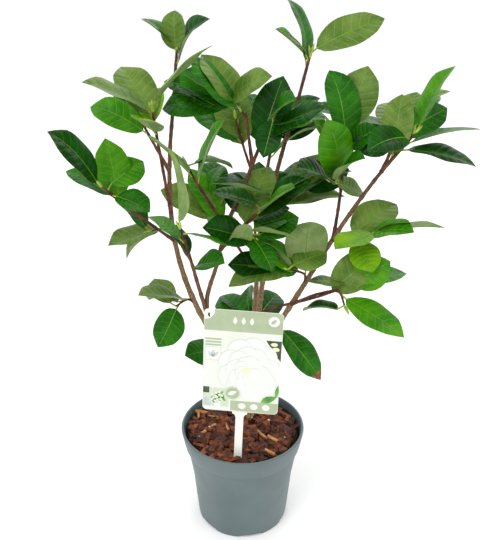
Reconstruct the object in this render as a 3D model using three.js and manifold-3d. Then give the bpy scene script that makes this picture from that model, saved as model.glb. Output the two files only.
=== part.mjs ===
// A camellia shrub growing in a round nursery pot.
//
// Millimetres, +Z up. The origin is on the pot's flat underside, on the pot's axis. The care
// label stands on the -Y side of the plant and faces -Y; +X is to its right.
//
// The plant is a short trunk that rises out of the compost and forks into slim, upright stems.
// Each stem is one tapering limb that grows from its parent through a few headings, and ends in
// a mass of leaves. A mass is one closed, uneven solid: a rounded core drawn out into lobes.

import * as THREE from 'three';
import { mergeVertices } from 'three/addons/utils/BufferGeometryUtils.js';
import Module from 'manifold-3d';

const wasm = await Module();
wasm.setup();

// ---------------------------------------------------------------- driving dimensions

// Clearance between two pieces that touch in the real object.
const GAP = 0.3;

const POT = {
  rimRadius: 75,
  footRadius: 57,
  height: 130,
  wall: 1.8,
  floor: 2.5,
  bandHeight: 31,
  bandStep: 2.4,
  lipRadius: 1.2,
  segments: 24,
  notches: 6,
  notchTurnDeg: 10,
  notchWidth: 25,
  notchDepth: 6,
  notchHeight: 3,
};

const SOIL = { level: 122, crown: 2.5, edgeClearance: 0.6 };

const LABEL = {
  centre: [-1, -51, 251],
  width: 85,
  height: 127,
  thickness: 0.8,
  corner: 5,
  holeRadius: 3.2,
  holeInset: 7,
  leanDeg: 2,
  yawDeg: -5,
  rollDeg: 2,
  stakeTopWidth: 17,
  stakeWidth: 9,
  stakeShoulder: 8,
  stakeThickness: 1.6,
  stakeLength: 128,
  stakePoint: 10,
};

// How thick each kind of limb is: its radius at the foot and at the tip.
const GIRTH = {
  trunk: [5.6, 4.6],
  stem: [3.7, 1.6],
  branch: [2.4, 1.5],
  bough: [1.9, 1.3],
};

// Limbs in the order they grow. A limb leaves `from` at the share `at` of that limb's length and
// turns evenly through its headings, which are [bearing, rise] in degrees: a bearing of 0 is
// right, 90 away from the label, 180 left and -90 towards the label's side.
const LIMBS = {
  trunk: { girth: 'trunk', length: 95, headings: [[-20, 87], [-30, 87]] },
  stem_right: {
    from: 'trunk', girth: 'stem', length: 320,
    headings: [[-35, 68], [-20, 62], [5, 62], [15, 55], [10, 48]],
  },
  stem_middle: {
    from: 'trunk', girth: 'stem', length: 215,
    headings: [[-150, 44], [-150, 56], [10, 72], [0, 80]],
  },
  stem_left: {
    from: 'trunk', girth: 'stem', length: 380,
    headings: [[-160, 38], [175, 60], [140, 68], [100, 80], [60, 78], [60, 80]],
  },
  stem_top: {
    from: 'trunk', girth: 'stem', length: 355,
    headings: [[70, 72], [60, 78], [45, 84], [20, 72], [20, 76]],
  },
  stem_back: {
    from: 'trunk', girth: 'stem', length: 275,
    headings: [[85, 62], [80, 70], [60, 68]],
  },
  stem_centre: {
    from: 'stem_middle', girth: 'branch', length: 115,
    headings: [[30, 58], [40, 62], [30, 62]],
  },
  stem_front_left: {
    from: 'stem_middle', at: 0.5, girth: 'branch', length: 118,
    headings: [[-120, 72], [-115, 66]],
  },
  bough_upper_middle: {
    from: 'stem_middle', girth: 'bough', length: 68,
    headings: [[-160, 58], [-160, 62]],
  },
  bough_centre: {
    from: 'stem_middle', at: 0.87, girth: 'bough', length: 72,
    headings: [[-10, 52], [0, 42]],
  },
  bough_upper_centre: {
    from: 'stem_centre', at: 0.6, girth: 'bough', length: 42,
    headings: [[120, 72], [125, 78]],
  },
  bough_upper_right: {
    from: 'stem_right', at: 0.62, girth: 'bough', length: 110,
    headings: [[75, 55], [75, 60], [70, 70]],
  },
  bough_right: {
    from: 'stem_right', at: 0.62, girth: 'bough', length: 52,
    headings: [[-20, 0], [-10, 30]],
  },
  bough_left: {
    from: 'stem_left', at: 0.5, girth: 'bough', length: 100,
    headings: [[-150, 38], [-145, 48]],
  },
  bough_upper_left: {
    from: 'stem_left', at: 0.58, girth: 'bough', length: 118,
    headings: [[-110, 74], [-110, 76]],
  },
  bough_lower_right: {
    from: 'stem_right', at: 0.32, girth: 'bough', length: 62,
    headings: [[-40, 45], [-35, 25]],
  },
  bough_low_centre: {
    from: 'stem_middle', at: 0.33, girth: 'bough', length: 115,
    headings: [[-20, 50], [-10, 15]],
  },
  bough_back_left: {
    from: 'stem_back', at: 0.4, girth: 'bough', length: 100,
    headings: [[140, 45], [145, 50]],
  },
  bough_back: {
    from: 'stem_back', at: 0.72, girth: 'bough', length: 90,
    headings: [[145, 62], [140, 70]],
  },
  bough_back_middle: {
    from: 'stem_back', at: 0.5, girth: 'bough', length: 62,
    headings: [[110, 45], [60, 60]],
  },
  bough_back_right: {
    from: 'stem_back', at: 0.62, girth: 'bough', length: 62,
    headings: [[30, 30], [35, 35]],
  },
  bough_far_left: {
    from: 'stem_left', at: 0.7, girth: 'bough', length: 72,
    headings: [[125, 30], [130, 45]],
  },
  bough_far_right: {
    from: 'stem_right', at: 0.88, girth: 'bough', length: 74,
    headings: [[65, 20], [70, 30]],
  },
  bough_low_back: {
    from: 'stem_back', at: 0.11, girth: 'bough', length: 50,
    headings: [[95, 15], [95, 0]],
  },
};

const TRUNK_FOOT = [7, 0, SOIL.level - 6];
const TRUNK_FLARE = 3.4;
const TRUNK_SIDES = 9;
const LIMB_SIDES = 5;
const LIMB_STEP = 46;
const PATH_STEP = 8;

// Three lobes fanned about one bearing: a pair of leaves to the sides and a shorter one above.
function fan(bearing, reach) {
  return [[bearing - 50, 10, reach], [bearing + 50, 5, reach], [bearing, 40, 0.7 * reach]];
}

// Masses in the order they are laid down; each is cut clear of the limbs and of the masses
// before it. A mass sits on a limb, at the share `at` of its length (its tip if left out), with
// its core `out` from there by [bearing, rise, distance]. The core is `size` across in radius,
// and each lobe reaches [bearing, rise, distance] from the core to the tip of a leaf.
const MASSES = {
  crown_top: {
    on: 'stem_top', out: [180, 70, 16], size: 28,
    lobes: [[140, 60, 54], [10, 15, 90], [-28, 2, 80], [165, 30, 34], [20, -25, 30]],
  },
  top_left: {
    on: 'stem_left', out: [0, 90, 12], size: 26,
    lobes: [[95, 75, 36], [-20, 35, 50], [165, 30, 28]],
  },
  upper_left: {
    on: 'bough_upper_left', out: [0, 90, 10], size: 21,
    lobes: [[-155, 18, 72], [125, 20, 70], [-15, 40, 85], [-110, -35, 30]],
  },
  left: {
    on: 'bough_left', out: [0, 90, 15], size: 20,
    lobes: [[-155, 45, 74], [-120, 10, 42], [90, 60, 40], [40, 5, 48], [-15, -45, 40]],
  },
  left_front: {
    on: 'stem_front_left', out: [0, 90, 20], size: 18,
    lobes: [[-140, 80, 72], [150, -30, 32], [-10, -45, 36]],
  },
  upper_middle: {
    on: 'bough_upper_middle', out: [0, 90, 15], size: 18,
    lobes: [[-160, 32, 50], [-20, 48, 55], [10, -25, 30]],
  },
  upper_centre_left: {
    on: 'bough_upper_centre', out: [140, 35, 22], size: 26,
    lobes: [[165, -5, 80], [155, 18, 70], [145, 42, 76], [60, 75, 40], [-25, 35, 55]],
  },
  upper_centre: {
    on: 'stem_centre', out: [0, 20, 20], size: 21,
    lobes: [[-50, 15, 52], [25, 10, 42], [110, 65, 40], [-150, -40, 34]],
  },
  upper_right: {
    on: 'bough_upper_right', out: [150, 70, 18], size: 25,
    lobes: [[12, 4, 75], [50, -12, 75], [25, 62, 58], [140, 65, 54], [-150, 10, 45]],
  },
  right: {
    on: 'stem_right', out: [0, 40, 18], size: 22,
    lobes: [[20, 65, 68], [-20, -5, 62], [-30, -30, 66], [130, 45, 45], [-155, -15, 72]],
  },
  right_middle: {
    on: 'bough_right', out: [180, 0, 4], size: 20,
    lobes: [[-25, 10, 66], [-150, -10, 62], [-120, -50, 44], [60, 15, 50]],
  },
  right_low: {
    on: 'bough_low_centre', out: [5, 22, 58], size: 19,
    lobes: [[15, 0, 60], [30, 40, 40], [180, -5, 52]],
  },
  lower_right: {
    on: 'bough_lower_right', out: [-60, -15, 24], size: 17,
    lobes: [[-30, -15, 68], [-60, -40, 30], [155, -15, 46]],
  },
  low_right: {
    on: 'stem_right', at: 0.12, out: [-35, 43, 36], size: 14,
    lobes: [[-30, -47, 66]],
  },
  centre_right: {
    on: 'bough_upper_right', at: 0.45, out: [-150, 30, 24], size: 20,
    lobes: [[-145, 30, 46], [30, -20, 46], [95, 80, 68]],
  },
  centre: {
    on: 'bough_centre', out: [-160, 60, 16], size: 21,
    lobes: [[-150, 15, 60], [75, 20, 46], [10, 10, 54], [10, -50, 30]],
  },
  centre_low: {
    on: 'bough_centre', at: 0.3, out: [-20, -10, 30], size: 19,
    lobes: [[-25, 15, 46], [45, 35, 42], [-170, 25, 66]],
  },
  low_centre: {
    on: 'stem_right', at: 0.4, out: [-140, 50, 34], size: 22,
    lobes: [[-30, 70, 70], [15, 20, 42], [-160, -5, 68]],
  },
  left_middle: {
    on: 'stem_front_left', at: 0.7, out: [180, 40, 6], size: 17,
    lobes: [[-30, 0, 42], [150, 45, 30]],
  },
  left_low: {
    on: 'stem_left', at: 0.52, out: [-160, 10, 24], size: 19,
    lobes: [[-155, -10, 50], [-160, -45, 42], [155, 40, 35]],
  },
  lower_left: {
    on: 'stem_left', at: 0.3, out: [-140, 10, 26], size: 20,
    lobes: [[-135, 32, 58], [130, -12, 54], [-120, -45, 50]],
  },
  lowest_left: {
    on: 'stem_left', at: 0.15, out: [-140, -10, 14], size: 15,
    lobes: [[-145, 0, 34], [20, -80, 38]],
  },
  back_top: { on: 'stem_back', out: [60, 60, 20], size: 24, lobes: fan(80, 58) },
  back_upper: { on: 'bough_back', out: [100, 60, 18], size: 24, lobes: fan(115, 56) },
  back_middle: { on: 'bough_back_middle', out: [80, 60, 18], size: 24, lobes: fan(90, 54) },
  back_left: { on: 'bough_back_left', out: [130, 50, 16], size: 23, lobes: fan(135, 56) },
  back_right: { on: 'bough_back_right', out: [40, 40, 16], size: 23, lobes: fan(50, 58) },
  far_left: { on: 'bough_far_left', out: [130, 40, 14], size: 19, lobes: fan(140, 52) },
  far_right: { on: 'bough_far_right', out: [60, 40, 14], size: 19, lobes: fan(45, 50) },
  low_back: { on: 'bough_low_back', out: [90, 0, 18], size: 20, lobes: fan(90, 52) },
};

// A core is flatter front to back than it is wide. Then the angular half-width of a lobe, and
// the facets and unevenness of a mass.
const CORE_SHAPE = [1, 0.8, 0.9];
const LOBE_WIDTH_DEG = 26;
const MASS_DETAIL = 2;
const MASS_RIPPLE = 0.09;
const MASS_CLEARANCE = 1.2;

const FINISH = {
  pot: { color: 0x66767a, roughness: 0.55 },
  soil: { color: 0x482519, roughness: 0.95 },
  trunk: { color: 0x9a7a52, roughness: 0.85 },
  stem: { color: 0x6b4a31, roughness: 0.8 },
  card: { color: 0xe9efdd, roughness: 0.4 },
  leaves: [0x14560f, 0x1d6314, 0x2a7a18, 0x3c8a2a],
};

// ---------------------------------------------------------------- solids and booleans

function toSolid(geometry) {
  const bare = geometry.clone();
  bare.deleteAttribute('normal');
  bare.deleteAttribute('uv');
  const merged = mergeVertices(bare, 1e-4);
  return new wasm.Manifold(new wasm.Mesh({
    numProp: 3,
    vertProperties: Float32Array.from(merged.attributes.position.array),
    triVerts: Uint32Array.from(merged.index.array),
  }));
}

// The largest of the separate bodies of a solid: what a cut leaves standing.
function largestBody(solid) {
  const bodies = solid.decompose();
  return bodies.reduce((best, body) => (body.volume() > best.volume() ? body : best));
}

function toGeometry(solid) {
  const mesh = solid.getMesh();
  const geometry = new THREE.BufferGeometry();
  geometry.setAttribute('position', new THREE.BufferAttribute(mesh.vertProperties, 3));
  geometry.setIndex(new THREE.BufferAttribute(mesh.triVerts, 1));
  geometry.computeVertexNormals();
  return geometry;
}

function material({ color, roughness }) {
  return new THREE.MeshStandardMaterial({ color, roughness, metalness: 0, flatShading: true });
}

function piece(name, geometry, finish) {
  const mesh = new THREE.Mesh(geometry, material(finish));
  mesh.name = name;
  return mesh;
}

// ---------------------------------------------------------------- pot and compost

// The pot's wall radius at a height: a straight taper from foot to rim.
function wallRadius(z) {
  return THREE.MathUtils.lerp(POT.footRadius, POT.rimRadius, z / POT.height);
}

function potGeometry() {
  const { height, wall, floor, bandHeight, bandStep, lipRadius, segments } = POT;
  const bandFoot = height - bandHeight;
  const outline = [
    [0, 0],
    [POT.footRadius - 1, 0],
    [wallRadius(1), 1],
    [wallRadius(bandFoot) - bandStep, bandFoot],
    [wallRadius(bandFoot) - 0.6, bandFoot],
    [wallRadius(bandFoot + 1), bandFoot + 1],
    [POT.rimRadius, height - lipRadius],
    [POT.rimRadius - lipRadius / 2, height],
    [POT.rimRadius - wall - lipRadius / 2, height],
    [POT.rimRadius - wall - lipRadius, height - lipRadius],
    [wallRadius(bandFoot) - bandStep - wall, bandFoot - 2],
    [wallRadius(floor) - wall, floor],
    [0, floor],
  ];
  const profile = outline.map(([r, z]) => new THREE.Vector2(r, z));
  return new THREE.LatheGeometry(profile, segments).rotateX(Math.PI / 2);
}

// Shallow notches through the foot's edge let air and water out from under the pot.
function buildPot() {
  let pot = toSolid(potGeometry());
  const { notches, notchTurnDeg, notchWidth, notchDepth, notchHeight, footRadius } = POT;
  const first = THREE.MathUtils.degToRad(notchTurnDeg - 90);
  for (let i = 0; i < notches; i += 1) {
    const turn = first + (i * 2 * Math.PI) / notches;
    const reach = footRadius - notchDepth / 2 + 1;
    const box = new THREE.BoxGeometry(notchDepth + 2, notchWidth, 2 * notchHeight);
    box.translate(reach, 0, -notchHeight + 1.7);
    box.rotateZ(turn);
    pot = pot.subtract(toSolid(box));
  }
  return largestBody(pot);
}

// The compost fills the pot to just under the rim and rises slightly to the middle.
function buildSoil() {
  const { level, crown, edgeClearance } = SOIL;
  const bandFoot = POT.height - POT.bandHeight;
  const floor = POT.floor + GAP;
  const inside = POT.wall + edgeClearance;
  const outline = [
    [0, floor],
    [wallRadius(floor) - inside - 1, floor],
    [wallRadius(bandFoot) - POT.bandStep - inside, bandFoot - 4],
    [wallRadius(level) - inside - 2.4, level - 1.5],
    [wallRadius(level) - inside - 5, level],
    [wallRadius(level) * 0.5, level + crown],
    [0, level + crown],
  ];
  const profile = outline.map(([r, z]) => new THREE.Vector2(r, z));
  return toSolid(new THREE.LatheGeometry(profile, POT.segments).rotateX(Math.PI / 2));
}

// ---------------------------------------------------------------- limbs

// The unit vector of a bearing and a rise, in degrees.
function heading([bearing, rise]) {
  const turn = THREE.MathUtils.degToRad(bearing);
  const lift = THREE.MathUtils.degToRad(rise);
  const level = Math.cos(lift);
  return new THREE.Vector3(level * Math.cos(turn), level * Math.sin(turn), Math.sin(lift));
}

// A limb's centreline: short steps that turn evenly from each heading to the next.
function growCentreline(start, { length, headings }) {
  const steps = Math.ceil(length / PATH_STEP);
  const aims = headings.map(heading);
  const points = [start];
  for (let i = 0; i < steps; i += 1) {
    const along = ((i + 0.5) / steps) * (aims.length - 1);
    const k = Math.floor(along);
    const aim = aims[k].clone().lerp(aims[k + 1], along - k).normalize();
    points.push(points[i].clone().addScaledVector(aim, length / steps));
  }
  return new THREE.CatmullRomCurve3(points);
}

function growAll() {
  const curves = {};
  for (const [name, limb] of Object.entries(LIMBS)) {
    const { from, at = 1 } = limb;
    const start = from ? curves[from].getPointAt(at) : new THREE.Vector3(...TRUNK_FOOT);
    curves[name] = growCentreline(start, limb);
  }
  return curves;
}

const CENTRELINES = growAll();

// One tapering limb: rings of points along its centreline, closed at both ends. `grow` is added
// to every radius, and the grown copy cuts the pieces that have to keep clear of the limb.
function limbGeometry(name, grow = 0) {
  const curve = CENTRELINES[name];
  const radii = GIRTH[LIMBS[name].girth];
  const flare = name === 'trunk' ? TRUNK_FLARE : 0;
  const sides = name === 'trunk' ? TRUNK_SIDES : LIMB_SIDES;
  const rings = Math.max(3, Math.round(curve.getLength() / LIMB_STEP));
  const frames = curve.computeFrenetFrames(rings, false);
  const positions = [];
  for (let i = 0; i <= rings; i += 1) {
    const t = i / rings;
    const centre = curve.getPointAt(t);
    const swell = flare * Math.exp(-9 * t);
    const radius = THREE.MathUtils.lerp(radii[0], radii[1], t) + swell + grow;
    for (let j = 0; j < sides; j += 1) {
      const angle = (j / sides) * 2 * Math.PI;
      const point = centre.clone();
      point.addScaledVector(frames.normals[i], radius * Math.cos(angle));
      point.addScaledVector(frames.binormals[i], radius * Math.sin(angle));
      positions.push(point.x, point.y, point.z);
    }
  }
  const index = [];
  for (let i = 0; i < rings; i += 1) {
    for (let j = 0; j < sides; j += 1) {
      const a = i * sides + j;
      const b = i * sides + ((j + 1) % sides);
      index.push(a, b, a + sides, b, b + sides, a + sides);
    }
  }
  const top = rings * sides;
  for (let j = 1; j < sides - 1; j += 1) {
    index.push(0, j + 1, j);
    index.push(top, top + j, top + j + 1);
  }
  const geometry = new THREE.BufferGeometry();
  geometry.setAttribute('position', new THREE.Float32BufferAttribute(positions, 3));
  geometry.setIndex(index);
  return geometry;
}

// A block that fills everything below the compost's top, for the flat cut under the trunk.
function groundBlock() {
  const top = SOIL.level + SOIL.crown + GAP;
  return toSolid(new THREE.BoxGeometry(200, 200, 60).translate(0, 0, top - 30));
}

// Each limb is cut back to where it stands clear of the ground and of the limbs it grows from.
function buildLimbs() {
  const built = [];
  const ground = groundBlock();
  for (const name of Object.keys(LIMBS)) {
    let solid = toSolid(limbGeometry(name)).subtract(ground);
    for (const earlier of built) {
      solid = solid.subtract(earlier.grown);
    }
    const grown = toSolid(limbGeometry(name, GAP * 1.3));
    built.push({ name, solid: largestBody(solid), grown });
  }
  return built;
}

// ---------------------------------------------------------------- masses of leaves

// The centre of a mass's core: out from its limb.
function coreCentre({ on, at = 1, out: [bearing, rise, distance] }) {
  const foot = CENTRELINES[on].getPointAt(at);
  return foot.addScaledVector(heading([bearing, rise]), distance);
}

// Distance from the core's centre to the surface of a mass in the direction `u`. The ripple's
// phase comes from the mass's size and number of lobes, so that masses differ.
function massRadius({ size, lobes }, u) {
  const [x, y, z] = CORE_SHAPE.map((share) => share * size);
  const body = 1 / Math.hypot(u.x / x, u.y / y, u.z / z);
  const wave = Math.sin(5 * u.x + size) * Math.sin(4 * u.y + lobes.length) * Math.sin(6 * u.z);
  const width = THREE.MathUtils.degToRad(LOBE_WIDTH_DEG);
  let radius = body * (1 + MASS_RIPPLE * wave);
  for (const [bearing, rise, reach] of lobes) {
    const angle = heading([bearing, rise]).angleTo(u);
    const lobe = body + (reach - body) * Math.exp(-((angle / width) ** 2));
    radius = Math.max(radius, lobe);
  }
  return radius;
}

function massGeometry(mass, grow = 0) {
  const geometry = new THREE.IcosahedronGeometry(1, MASS_DETAIL);
  geometry.deleteAttribute('normal');
  geometry.deleteAttribute('uv');
  const ball = mergeVertices(geometry, 1e-4);
  const points = ball.attributes.position;
  const centre = coreCentre(mass);
  const directions = [];
  for (let i = 0; i < points.count; i += 1) {
    directions.push(new THREE.Vector3().fromBufferAttribute(points, i).normalize());
  }
  for (const [bearing, rise] of mass.lobes) {
    const aim = heading([bearing, rise]);
    const nearest = directions.reduce((best, u) => (u.dot(aim) > best.dot(aim) ? u : best));
    nearest.copy(aim);
  }
  directions.forEach((u, i) => {
    const point = u.clone().multiplyScalar(massRadius(mass, u) + grow).add(centre);
    points.setXYZ(i, point.x, point.y, point.z);
  });
  return ball;
}

function buildMasses(obstacles) {
  const built = [];
  for (const [name, mass] of Object.entries(MASSES)) {
    let solid = toSolid(massGeometry(mass));
    for (const obstacle of obstacles) {
      solid = solid.subtract(obstacle);
    }
    for (const earlier of built) {
      solid = solid.subtract(earlier.grown);
    }
    const grown = toSolid(massGeometry(mass, MASS_CLEARANCE));
    built.push({ name, solid: largestBody(solid), grown });
  }
  return built;
}

// ---------------------------------------------------------------- care label

function roundedCard(width, height, corner) {
  const x = width / 2;
  const y = height / 2;
  const shape = new THREE.Shape();
  shape.moveTo(-x + corner, -y);
  shape.lineTo(x - corner, -y);
  shape.absarc(x - corner, -y + corner, corner, -Math.PI / 2, 0, false);
  shape.lineTo(x, y - corner);
  shape.absarc(x - corner, y - corner, corner, 0, Math.PI / 2, false);
  shape.lineTo(-x + corner, y);
  shape.absarc(-x + corner, y - corner, corner, Math.PI / 2, Math.PI, false);
  shape.lineTo(-x, -y + corner);
  shape.absarc(-x + corner, -y + corner, corner, Math.PI, 1.5 * Math.PI, false);
  return shape;
}

// The card is drawn upright in its own plane, with a hanging hole in its upper left corner.
function cardGeometry() {
  const { width, height, corner, holeRadius, holeInset, thickness } = LABEL;
  const shape = roundedCard(width, height, corner);
  const hole = new THREE.Path();
  hole.absarc(-width / 2 + holeInset, height / 2 - holeInset, holeRadius, 0, 2 * Math.PI, true);
  shape.holes.push(hole);
  return new THREE.ExtrudeGeometry(shape, {
    depth: thickness,
    bevelEnabled: false,
    curveSegments: 4,
  });
}

// The stake is a strip with a wide head under the card and a point in the compost.
function stakeGeometry(grow = 0) {
  const { height, stakeTopWidth, stakeWidth, stakeShoulder, stakeLength, stakePoint } = LABEL;
  const top = -height / 2 - GAP + grow;
  const head = stakeTopWidth / 2 + grow;
  const strip = stakeWidth / 2 + grow;
  const shape = new THREE.Shape();
  shape.moveTo(-head, top);
  shape.lineTo(-head, top - 2);
  shape.quadraticCurveTo(-strip, top - 3, -strip, top - stakeShoulder);
  shape.lineTo(-strip, top - stakeLength + stakePoint);
  shape.lineTo(0, top - stakeLength - 2 * grow);
  shape.lineTo(strip, top - stakeLength + stakePoint);
  shape.lineTo(strip, top - stakeShoulder);
  shape.quadraticCurveTo(strip, top - 3, head, top - 2);
  shape.lineTo(head, top);
  const depth = LABEL.stakeThickness + 2 * grow;
  const strap = new THREE.ExtrudeGeometry(shape, { depth, bevelEnabled: false, curveSegments: 4 });
  return strap.translate(0, 0, -grow - (LABEL.stakeThickness - LABEL.thickness) / 2);
}

// Stands the flat drawing up to face -Y, then rolls, leans and turns it into its place.
function placeLabel(geometry) {
  const { leanDeg, yawDeg, rollDeg, centre } = LABEL;
  geometry.rotateX(Math.PI / 2);
  geometry.rotateY(THREE.MathUtils.degToRad(rollDeg));
  geometry.rotateX(-THREE.MathUtils.degToRad(leanDeg));
  geometry.rotateZ(THREE.MathUtils.degToRad(yawDeg));
  return geometry.translate(...centre);
}

// ---------------------------------------------------------------- assembly

const plant = new THREE.Group();

const stake = toSolid(placeLabel(stakeGeometry()));
const stakeSlot = toSolid(placeLabel(stakeGeometry(GAP)));
const card = toSolid(placeLabel(cardGeometry()));
const soil = buildSoil().subtract(stakeSlot);

plant.add(piece('pot', toGeometry(buildPot()), FINISH.pot));
plant.add(piece('compost', toGeometry(soil), FINISH.soil));
plant.add(piece('label_card', toGeometry(card), FINISH.card));
plant.add(piece('label_stake', toGeometry(stake), FINISH.card));

const limbs = buildLimbs();
for (const { name, solid } of limbs) {
  plant.add(piece(name, toGeometry(solid), name === 'trunk' ? FINISH.trunk : FINISH.stem));
}

const masses = buildMasses([...limbs.map((limb) => limb.grown), stakeSlot, card]);
masses.forEach(({ name, solid }, i) => {
  const finish = { color: FINISH.leaves[i % FINISH.leaves.length], roughness: 0.4 };
  plant.add(piece(`leaves_${name}`, toGeometry(solid), finish));
});

export default plant;
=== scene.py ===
"""A young camellia in a round nursery pot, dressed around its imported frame.

Lengths are in millimetres until a mesh is made. Bearings are in degrees on the ground: 0 is
right, 90 away from the label, 180 left and -90 towards the label's side. A rise is in degrees
above the level.
"""
import logging
import math
import random
from dataclasses import dataclass, field
from enum import Enum
from typing import Any, Optional, Sequence, Union

import bmesh
import bpy
from mathutils import Matrix, Vector, noise


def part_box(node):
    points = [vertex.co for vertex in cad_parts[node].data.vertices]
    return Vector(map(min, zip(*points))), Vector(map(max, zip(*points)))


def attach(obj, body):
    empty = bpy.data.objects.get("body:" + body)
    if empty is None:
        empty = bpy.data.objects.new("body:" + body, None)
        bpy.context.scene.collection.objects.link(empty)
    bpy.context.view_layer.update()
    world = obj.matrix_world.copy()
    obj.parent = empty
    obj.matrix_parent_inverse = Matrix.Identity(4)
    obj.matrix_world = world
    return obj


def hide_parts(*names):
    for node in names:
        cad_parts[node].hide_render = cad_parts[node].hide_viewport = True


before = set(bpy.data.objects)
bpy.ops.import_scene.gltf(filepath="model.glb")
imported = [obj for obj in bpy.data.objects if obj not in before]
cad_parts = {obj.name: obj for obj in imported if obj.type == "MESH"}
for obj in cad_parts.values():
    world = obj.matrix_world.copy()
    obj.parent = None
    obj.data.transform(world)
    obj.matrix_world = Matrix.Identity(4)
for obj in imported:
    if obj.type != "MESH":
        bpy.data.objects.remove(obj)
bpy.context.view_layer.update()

LOG = logging.getLogger("camellia")
MM = 0.001
BODY = "root"
Colour = tuple[float, float, float]
Number = Union[int, float]


def hue(red: int, green: int, blue: int) -> Colour:
    """The linear colour of a paint given in 8-bit display values."""
    def linear(value: int) -> float:
        """One channel on the linear scale."""
        share = value / 255
        return share / 12.92 if share <= 0.04045 else ((share + 0.055) / 1.055) ** 2.4
    return (linear(red), linear(green), linear(blue))


def heading(bearing: float, rise: float) -> Vector:
    """The unit vector of a bearing and a rise in degrees."""
    turn = math.radians(bearing)
    lift = math.radians(rise)
    return Vector((math.cos(lift) * math.cos(turn), math.cos(lift) * math.sin(turn), math.sin(lift)))


def node_box(name: str) -> tuple[Vector, Vector]:
    """The lowest and highest corners of a node of the frame, in millimetres."""
    low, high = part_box(name)
    return low / MM, high / MM


def merged(name: str) -> bmesh.types.BMesh:
    """A copy of a node's mesh with its doubled points merged, for the caller to free."""
    solid = bmesh.new()
    solid.from_mesh(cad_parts[name].data)
    bmesh.ops.remove_doubles(solid, verts=solid.verts, dist=1e-5)
    solid.verts.ensure_lookup_table()
    return solid


def place_object(name: str, data: Any) -> bpy.types.Object:
    """Puts a mesh, lamp or camera in the scene."""
    made = bpy.data.objects.new(name, data)
    bpy.context.scene.collection.objects.link(made)
    return made


def add_node(tree: Any, kind: str, settings: Optional[dict] = None, values: Optional[dict] = None) -> Any:
    """Adds a node to a tree.

    Args:
        tree: the tree.
        kind: the node's type.
        settings: its own settings, which are set first.
        values: numbers, colours or sockets for its inputs, by name or index.

    Returns:
        The node.
    """
    made = tree.nodes.new(kind)
    for key, value in (settings or {}).items():
        setattr(made, key, value)
    for key, value in (values or {}).items():
        entry = made.inputs[key]
        if isinstance(value, bpy.types.NodeSocket):
            tree.links.new(value, entry)
        elif isinstance(value, tuple) and entry.type == "RGBA":
            entry.default_value = (*value, 1.0)
        else:
            entry.default_value = value
    return made


# ------------------------------------------------------------------ shader building


class Wire:
    """A shader value with arithmetic: each operator adds a Math node."""

    def __init__(self, sheet: "Sheet", socket: Any) -> None:
        """Keeps the sheet that the value lives on, and its socket."""
        self.sheet = sheet
        self.socket = socket

    def math(self, operation: str, *others: Union["Wire", Number]) -> "Wire":
        """This value and others through one Math node.

        Args:
            operation: the Math node's operation.
            others: the second and third values.

        Returns:
            The result.
        """
        values = dict(enumerate((self, *others)))
        return self.sheet.node("ShaderNodeMath", {"operation": operation}, values)

    def __add__(self, other: Union["Wire", Number]) -> "Wire":
        """The sum."""
        return self.math("ADD", other)

    __radd__ = __add__

    def __sub__(self, other: Union["Wire", Number]) -> "Wire":
        """The difference."""
        return self.math("SUBTRACT", other)

    def __rsub__(self, other: Number) -> "Wire":
        """A number less this value."""
        return self.sheet.node("ShaderNodeMath", {"operation": "SUBTRACT"}, {0: other, 1: self})

    def __mul__(self, other: Union["Wire", Number]) -> "Wire":
        """The product."""
        return self.math("MULTIPLY", other)

    __rmul__ = __mul__

    def step(self, low: float, high: float) -> "Wire":
        """0 below low and 1 above high, with a smooth step between."""
        settings = {"interpolation_type": "SMOOTHSTEP"}
        return self.sheet.node("ShaderNodeMapRange", settings, {0: self, 1: low, 2: high})


class Sheet:
    """The node sheet of one material."""

    def __init__(self, name: str) -> None:
        """Starts an empty material with an output."""
        self.material = bpy.data.materials.new(name)
        self.material.use_nodes = True
        self.tree = self.material.node_tree
        self.tree.nodes.clear()
        self.output = self.tree.nodes.new("ShaderNodeOutputMaterial")

    def node(self, kind: str, settings: Optional[dict] = None, values: Optional[dict] = None,
             result: Union[int, str] = 0) -> Wire:
        """Adds any node and returns the output wanted; its values may be wires."""
        given = {key: value.socket if isinstance(value, Wire) else value
                 for key, value in (values or {}).items()}
        return Wire(self, add_node(self.tree, kind, settings, given).outputs[result])

    def blend(self, factor: Union[Wire, Number], first: Union[Wire, Colour],
              second: Union[Wire, Colour]) -> Wire:
        """Two colours mixed by a factor."""
        return self.node("ShaderNodeMix", {"data_type": "RGBA"}, {0: factor, 6: first, 7: second}, 2)

    def place(self) -> Wire:
        """The point on the object, in metres."""
        return self.node("ShaderNodeTexCoord", result="Object")

    def cloud(self, scale: float, detail: float = 3.0, where: Optional[Wire] = None) -> Wire:
        """Soft noise from 0 to 1, with `scale` cycles to the metre."""
        values = {"Vector": where or self.place(), "Scale": scale, "Detail": detail}
        return self.node("ShaderNodeTexNoise", None, values)

    def bump(self, height: Wire, strength: float, distance: float) -> Wire:
        """A normal from a height map, with its depth in metres."""
        values = {"Strength": strength, "Distance": distance, "Height": height}
        return self.node("ShaderNodeBump", None, values)

    def finish(self, colour: Wire, roughness: Union[Wire, float], normal: Optional[Wire] = None,
               specular: float = 0.5) -> bpy.types.Material:
        """Ends the sheet in a Principled shader.

        Args:
            colour: the base colour.
            roughness: a value or wire.
            normal: a bumped normal, if any.
            specular: the plain level of gloss.

        Returns:
            The finished material.
        """
        values: dict = {"Base Color": colour, "Roughness": roughness, "Specular IOR Level": specular}
        if normal is not None:
            values["Normal"] = normal
        shader = self.node("ShaderNodeBsdfPrincipled", None, values)
        self.tree.links.new(shader.socket, self.output.inputs["Surface"])
        return self.material


# ------------------------------------------------------------------ finishes


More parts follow.
